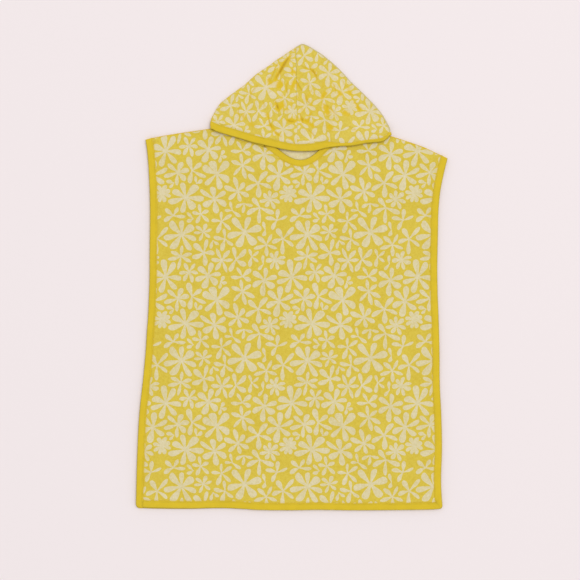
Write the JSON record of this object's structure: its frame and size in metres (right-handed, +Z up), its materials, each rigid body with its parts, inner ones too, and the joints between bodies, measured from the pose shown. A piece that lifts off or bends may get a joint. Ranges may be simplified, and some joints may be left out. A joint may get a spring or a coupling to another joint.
{
  "type": "hooded bath poncho",
  "caption": "Child's hooded bath poncho laid flat: printed terry front and back, bound edges, open neck and a hood drawn over the neckline.",
  "frame": {"origin": "on the surface that the garment lies on, under the middle of its outline", "axes": "+Z up out of the surface, +Y from the hem towards the hood, +X towards the right-hand side of the laid garment"},
  "size_m": [0.6134, 0.9173, 0.0137],
  "materials": {
    "printed_terry": "cotton terry, yellow with a cream flower print outside and plain cream inside",
    "hood_terry": "cotton terry, yellow with a cream flower print outside and plain cream inside",
    "binding_tape": "golden yellow cotton jersey tape, folded and topstitched"
  },
  "bodies": {
    "root": {"front_panel": "printed_terry", "back_panel": "printed_terry", "hood_left": "hood_terry", "hood_right": "hood_terry", "hood_binding": "binding_tape", "neck_binding": "binding_tape", "side_binding_front_left": "binding_tape", "side_binding_front_right": "binding_tape", "side_binding_back_left": "binding_tape", "side_binding_back_right": "binding_tape", "hem_binding_front": "binding_tape", "hem_binding_back": "binding_tape"}
  },
  "joints": []
}
